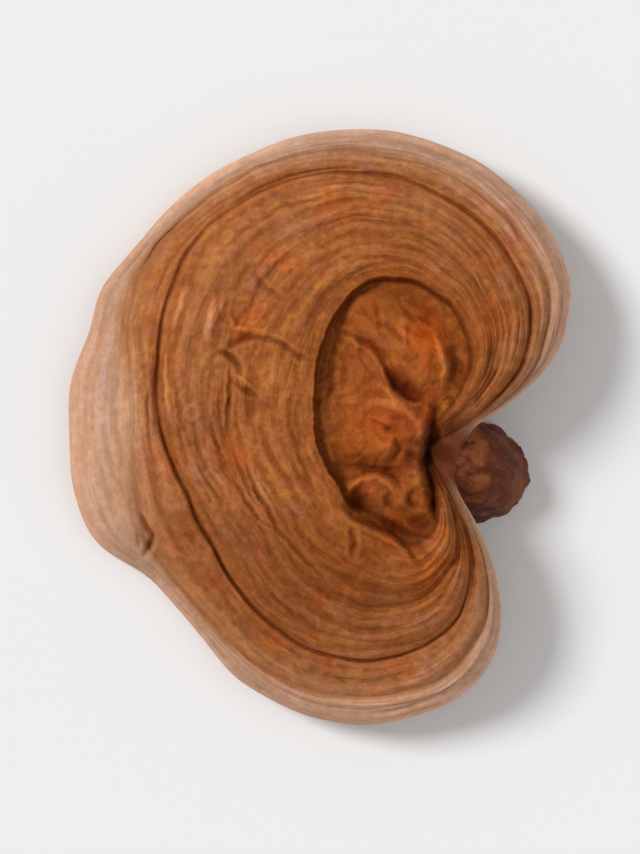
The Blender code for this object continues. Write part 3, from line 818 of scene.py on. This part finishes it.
class Surface(Nodes):
    """A Principled material."""

    def __init__(self, name, inputs):
        self.material = bpy.data.materials.new(name)
        super().__init__(self.material)
        self.shader = self.tree.nodes["Principled BSDF"]
        self.set(self.shader, inputs)

    def mark(self, name, output="Fac"):
        return self.node("Attribute", {}, attribute_name=name).outputs[output]

    def place(self):
        """The place on the object, in millimetres."""
        place = self.node("TexCoord", {}).outputs["Object"]
        return self.node("VectorMath", {0: place, "Scale": 1 / MM}, operation="SCALE").outputs[0]

    def math(self, operation, *values):
        return self.node("Math", dict(enumerate(values)), operation=operation).outputs[0]

    def product(self, first, *others):
        for other in others:
            first = self.math("MULTIPLY", first, other)
        return first

    def span(self, value, low, high, start=0.0, end=1.0):
        inputs = {"Value": value, "From Min": low, "From Max": high, "To Min": start, "To Max": end}
        return self.node("MapRange", inputs, interpolation_type="SMOOTHSTEP").outputs[0]

    def noise(self, place, size, detail, roughness=0.5):
        sizes = size if isinstance(size, tuple) else (size, size, size)
        place = self.node("VectorMath", {0: place, 1: sizes}, operation="DIVIDE").outputs[0]
        inputs = {"Vector": place, "Scale": 1.0, "Detail": detail, "Roughness": roughness}
        return self.node("TexNoise", inputs).outputs["Fac"]

    def pattern(self, place, noise, *span):
        return self.span(self.noise(place, *noise), *span)

    def mix(self, share, first, second, blend="MIX"):
        inputs = {0: share, 6: first, 7: second}
        return self.node("Mix", inputs, data_type="RGBA", blend_type=blend).outputs[2]

    def tinted(self, share, colour, tint):
        """The colour multiplied by a tint, to the given share."""
        return self.mix(share, colour, self.mix(1.0, colour, (*tint, 1), "MULTIPLY"))

    def warm(self, value):
        """A factor for a colour that turns it warmer where it darkens it."""
        channels = {k: self.math("POWER", value, power) for k, power in enumerate(WARM_POWERS)}
        return self.node("CombineColor", channels).outputs[0]

    def near_one(self, value, share):
        """A factor brought closer to 1, to the given share of its distance."""
        return self.math("MULTIPLY_ADD", self.math("SUBTRACT", value, 1.0), share, 1.0)

    def ramp(self, value, stops):
        """A colour by value, between stops given as a value and a colour as seen."""
        node = self.node("ValToRGB", {"Fac": value})
        elements = node.color_ramp.elements
        elements.remove(elements[1])
        elements[0].position, elements[0].color = stops[0][0], srgb(*stops[0][1])
        for position, seen in stops[1:]:
            elements.new(position).color = srgb(*seen)
        return node.outputs["Color"]

    def bump(self, height, distance):
        inputs = {"Height": height, "Distance": distance, "Strength": 1.0}
        return self.node("Bump", inputs).outputs["Normal"]


# Colours as they are seen, 0 to 255: the cap's, by zone number. The dark stops at 1.4 and 1.9 are
# painted shade on the hollow's steep wall.
ZONE_COLOURS = (
    (0, (158, 80, 32)), (1, (146, 79, 30)), (1.4, (110, 54, 16)), (1.9, (120, 60, 20)),
    (2.08, (166, 95, 44)), (2.5, (163, 95, 46)), (2.75, (157, 91, 43)), (3, (165, 99, 52)),
    (3.5, (157, 95, 52)), (3.95, (164, 96, 49)), (4.06, (163, 97, 53)), (4.4, (160, 100, 58)),
    (4.65, (176, 115, 74)), (4.9, (176, 120, 81)), (5.15, (188, 138, 102)), (5.5, (189, 145, 117)),
    (6, (197, 151, 122)), (6.2, (212, 163, 131)), (6.5, (198, 156, 122)),
)
CRUST_COLOUR = (122, 58, 26)  # of the dark crust round the stem's foot
PORE_COLOURS = ((0.3, (176, 132, 92)), (0.7, (206, 168, 126)))
PIT_COLOUR = (120, 78, 46)
STEM_COLOURS = ((0.28, (64, 26, 12)), (0.5, (98, 42, 20)), (0.72, (132, 66, 32)))
DUST_COLOUR = (146, 86, 48)
WOOD_COLOURS = ((0.3, (150, 100, 62)), (0.7, (204, 162, 114)))

WARM_POWERS = (0.75, 1, 1.5)  # of a dark tone's factor for red, green and blue

# Noises: size of the grain as above, detail, and roughness
LIMIT_NOISE = ((12, 12, 4), 3)
LIMIT_DRIFT = 0.5  # how far the limits between colours drift, in zones
STRIPE_NOISE = ((14, 14, 1.1), 3, 0.6)
LINE_BUMPS = ((5, 5, 0.26), 3, 0.6)
GRAIN_BUMPS = (0.35, 3, 0.6)
GRAIN_SHARE = 0.7  # of GRAIN_BUMPS, compared with LINE_BUMPS
PORE_NOISE = (9, 4, 0.6)
STEM_NOISE = ((3, 3, 9), 5, 0.6)
STEM_FIBRES = ((0.7, 0.7, 3), 4, 0.6)
STEM_GRAIN = (0.5, 3, 0.6)
WOOD_NOISE = (1.1, 5, 0.7)
# Patterns: a noise, its low and high values, and what they stand for. RING_TONES follow the rings.
RING_TONES = (
    (((50, 50, 2.4), 2), 0.34, 0.66, 0.88, 1.1),
    (((22, 22, 1.3), 4, 0.6), 0.34, 0.66, 0.84, 1.14),
    (((5, 5, 0.4), 3, 0.6), 0.3, 0.7, 0.86, 1.14),
)
GRAIN_TONES = (
    ((4.5, 3, 0.6), 0.3, 0.7, 0.89, 1.11),
    ((1.5, 3, 0.6), 0.3, 0.7, 0.87, 1.13),
    ((0.5, 2, 0.6), 0.3, 0.7, 0.9, 1.1),
)
PATCHINESS = ((7, 2), 0.36, 0.62, 0.5, 1)  # how strong RING_TONES are from place to place
CAP_ROUGHNESS = ((1.5, 3), 0.3, 0.7, 0.7, 0.88)
STEM_DUST = ((2.4, 5, 0.65), 0.45, 0.64, 0, 0.8)
CREASE_PAINTED_LIGHT = (-0.06, 0.06, 1.14, 0.82)  # depths of a crease, and the tones there: painted shade in creases, painted highlight on small rises, partly dust in the creases
# Ridge tops painted paler: partly wear, partly painted highlight
WEAR_AND_HIGHLIGHT_TONES = (0, 0.6, 1, 1.5)
LIFT_PAINTED_LIGHT = 0.34  # how much lighter a millimetre of height makes the cap: painted highlight on raised places, painted shade in sunk ones
# Patches and stripes of another tint: size of the grain, noise where the tint starts and where it is full
PATCH_TINTS = (
    (6.5, 0.5, 0.7, (1.22, 0.93, 0.62)),
    (3.2, 0.48, 0.64, (0.96, 0.97, 1.3)),
    (2.2, 0.54, 0.68, (1.06, 1.12, 0.95)),
    (1.2, 0.52, 0.64, (1.03, 1.03, 0.74)),
    (1.3, 0.53, 0.65, (1.04, 0.92, 1.1)),
)
PATCH_STRENGTH = 0.85
STRIPE_TINTS = ((0.5, 0.66, (1.08, 1.05, 1)), (0.5, 0.34, (0.88, 0.92, 0.98)))
# Changes of the look: the zones where one starts and ends, and the shares there
DRIFT_ZONES = (4.2, 4.6)
RINGED_ZONES = (1.6, 2.4)
CONTRAST_ZONES = (4.4, 5.3, 1, 0.55)
PATCH_ZONES = (4.4, 5.4, 1, 0.15)
STRIPE_ZONES = (4.5, 5.2)
CRUST_ZONES = (1.2, 2.6, 0.45, 1)
BASIN_ZONES = (1.9, 2.5, 1, 0.35)
PORE_ZONES = (6.42, 6.62)
CRUST_REACH = (3, 7.5, 0.95, 0)  # distances from the stem, and the crust's strength there
# Depths where the painted shade of a crack or a basin starts and ends, and the darkest tone
CUT_PAINTED_SHADE = (0.25, 1.3, 0.26)
CUT_POWER = 0.6  # below 1, shallow cracks count more
BASIN_PAINTED_SHADE = (0.3, 1.6, 0.62)
PIT_SCALE = 3.6  # pits of the pore side in a millimetre
PIT_SHADE = (0.28, 0.08, 0, 0.6)  # distances from a pit's middle, and how strong its colour is there
PIT_DEPTH = 1.2  # in the bump, compared with the noise of the top
SAWN_LEVELS = (0.02, 0.08, 1, 0)  # the stem's cut lies on the resting surface
SAWN_SKIN = (0.84, 0.93, 1, 0)  # and inside the stem's skin
SAWN_ROUGHNESS = 0.9
DUST_ROUGHNESS = (0, 1, 0.48, 0.8)  # of the stem without and with dust
CAP_BUMP = 0.16 * MM
STEM_BUMP = 0.18 * MM


def cap_material():
    s = Surface("reishi_cap", {"Specular IOR Level": 0.08})
    rings, place, zone = s.mark("rings", "Vector"), s.place(), s.mark("zone")
    drift = s.math("MULTIPLY_ADD", s.noise(rings, *LIMIT_NOISE), LIMIT_DRIFT, -LIMIT_DRIFT / 2)
    drift = s.product(drift, s.span(zone, *DRIFT_ZONES))
    shown = s.math("DIVIDE", s.math("ADD", s.mark("hue"), drift), EDGE_ZONE)
    colour = s.ramp(shown, [(stop / EDGE_ZONE, seen) for stop, seen in ZONE_COLOURS])

    ringed = s.product(*(s.pattern(rings, *row) for row in RING_TONES))
    patchy = s.pattern(place, *PATCHINESS)
    tone = s.product(
        s.near_one(ringed, s.product(s.span(zone, *RINGED_ZONES), patchy)),
        *(s.pattern(place, *row) for row in GRAIN_TONES),
        s.span(s.mark("crease"), *CREASE_PAINTED_LIGHT),
        s.math("MULTIPLY_ADD", s.mark("lift"), LIFT_PAINTED_LIGHT, 1.0),
        s.span(s.mark("wear_and_highlight"), *WEAR_AND_HIGHLIGHT_TONES),
    )
    tone = s.warm(s.near_one(tone, s.span(zone, *CONTRAST_ZONES)))
    colour = s.mix(1.0, colour, tone, "MULTIPLY")
    patched = s.span(zone, *PATCH_ZONES)
    for size, low, high, tint in PATCH_TINTS:
        share = s.product(s.pattern(place, (size, 3), low, high, 0, PATCH_STRENGTH), patched)
        colour = s.tinted(share, colour, tint)
    stripe, striped = s.noise(rings, *STRIPE_NOISE), s.span(zone, *STRIPE_ZONES)
    for low, high, tint in STRIPE_TINTS:
        colour = s.tinted(s.product(s.span(stripe, low, high), striped), colour, tint)
    # Tints of COLOUR_SPOTS; painted_shadow among them is a painted shadow
    for name, (tint, _) in COLOUR_SPOTS.items():
        colour = s.tinted(s.mark(name), colour, tint)
    crust = s.product(s.span(s.mark("from_stem"), *CRUST_REACH), s.span(zone, *CRUST_ZONES))
    colour = s.mix(crust, colour, s.mix(1.0, srgb(*CRUST_COLOUR), tone, "MULTIPLY"))
    # Cracks, folds and furrows are darkened by their depth: painted shade
    deep = s.math("POWER", s.math("MAXIMUM", s.mark("cut"), 0.0), CUT_POWER)
    # Wide hollows are darkened, most of all in the umbo's hollow: painted shade
    basin = s.product(s.mark("basin"), s.span(zone, *BASIN_ZONES))
    for depth, (start, end, darkest) in ((deep, CUT_PAINTED_SHADE), (basin, BASIN_PAINTED_SHADE)):
        shade = s.node("MapRange", {0: depth, 1: start, 2: end, 3: 1.0, 4: darkest}).outputs[0]
        colour = s.mix(1.0, colour, s.warm(shade), "MULTIPLY")

    pored = s.span(zone, *PORE_ZONES)
    pits = s.node("TexVoronoi", {"Vector": place, "Scale": PIT_SCALE}, voronoi_dimensions="3D")
    pits = pits.outputs["Distance"]
    flesh = s.ramp(s.noise(place, *PORE_NOISE), PORE_COLOURS)
    flesh = s.mix(s.span(pits, *PIT_SHADE), flesh, srgb(*PIT_COLOUR))
    colour = s.mix(pored, colour, flesh)

    rough = s.pattern(place, *CAP_ROUGHNESS)
    grains = s.product(s.noise(place, *GRAIN_BUMPS), GRAIN_SHARE)
    height = s.math("ADD", s.noise(rings, *LINE_BUMPS), grains)
    height = s.mix(pored, height, s.product(pits, PIT_DEPTH))
    s.set(s.shader, {"Base Color": colour, "Roughness": rough, "Normal": s.bump(height, CAP_BUMP)})
    return s.material


def stem_material():
    s = Surface("reishi_stem", {"Specular IOR Level": 0.12})
    spot, place = s.mark("grain", "Vector"), s.place()
    colour = s.ramp(s.noise(spot, *STEM_NOISE), STEM_COLOURS)
    dust = s.pattern(place, *STEM_DUST)
    colour = s.mix(dust, colour, srgb(*DUST_COLOUR))
    level = s.node("SeparateXYZ", {0: place}).outputs[2]
    sawn = s.product(s.span(level, *SAWN_LEVELS), s.span(s.mark("skin"), *SAWN_SKIN))
    colour = s.mix(sawn, colour, s.ramp(s.noise(place, *WOOD_NOISE), WOOD_COLOURS))
    rough = s.math("MAXIMUM", s.span(dust, *DUST_ROUGHNESS), s.product(sawn, SAWN_ROUGHNESS))
    height = s.math("ADD", s.noise(spot, *STEM_FIBRES), s.noise(place, *STEM_GRAIN))
    s.set(s.shader, {"Base Color": colour, "Roughness": rough, "Normal": s.bump(height, STEM_BUMP)})
    return s.material


# ---------- stage

FLOOR_SIZE = 6000 * MM
PAPER = {"Base Color": (0.86, 0.86, 0.86, 1), "Roughness": 0.9}
PAPER_NOISE = (0.8, 4)
PAPER_BUMP = 0.02 * MM
BACKDROP = srgb(238, 238, 238)
CAMERA_LENS = 240
VIEW_WIDTH = 112 * MM  # what the picture's long side spans at the cap
CAP_MIDDLE_LEVEL = 8 * MM
SUNS = (  # name, direction that the light comes from, strength, and how wide it looks, in degrees
    ("key", (-0.74, 0.37, 0.80), 2.25, 20),
    ("fill", (0.70, -0.20, 0.85), 0.50, 60),
)
SKY_STRENGTH = 0.38


def make_floor():
    bpy.ops.mesh.primitive_plane_add(size=FLOOR_SIZE)
    floor = bpy.context.object
    floor.name = "floor"
    surface = Surface("paper", PAPER)
    height = surface.noise(surface.place(), *PAPER_NOISE)
    surface.set(surface.shader, {"Normal": surface.bump(height, PAPER_BUMP)})
    floor.data.materials.append(surface.material)


def make_lights():
    for name, source, strength, width in SUNS:
        light = bpy.data.lights.new(name, "SUN")
        light.energy = strength
        light.angle = math.radians(width)
        added(name, light).rotation_euler = mathutils.Vector(source).to_track_quat("Z", "Y").to_euler()
    world = bpy.data.worlds.new("studio")
    sky = Nodes(world)
    lit, end = sky.tree.nodes["Background"], sky.tree.nodes["World Output"]
    sky.set(lit, {"Color": (1, 1, 1, 1), "Strength": SKY_STRENGTH})
    seen = sky.node("Background", {"Color": BACKDROP}).outputs[0]
    camera_ray = sky.node("LightPath", {}).outputs["Is Camera Ray"]
    either = sky.node("MixShader", {0: camera_ray, 1: lit.outputs[0], 2: seen}).outputs[0]
    sky.set(end, {"Surface": either})
    bpy.context.scene.world = world


def make_camera():
    camera = bpy.data.cameras.new("camera")
    camera.lens = CAMERA_LENS
    obj = added("camera", camera)
    # The sensor's width lies along the picture's long side
    obj.location = (0, 0, CAP_MIDDLE_LEVEL + VIEW_WIDTH * CAMERA_LENS / camera.sensor_width)
    bpy.context.scene.camera = obj


for piece, node, material in (
    (make_cap(), "cap", cap_material()),
    (make_stem(), "stem", stem_material()),
):
    piece.data.materials.append(material)
    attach(piece, "root")
    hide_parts(node)

make_floor()
make_lights()
make_camera()
bpy.context.scene.view_settings.view_transform = "Standard"
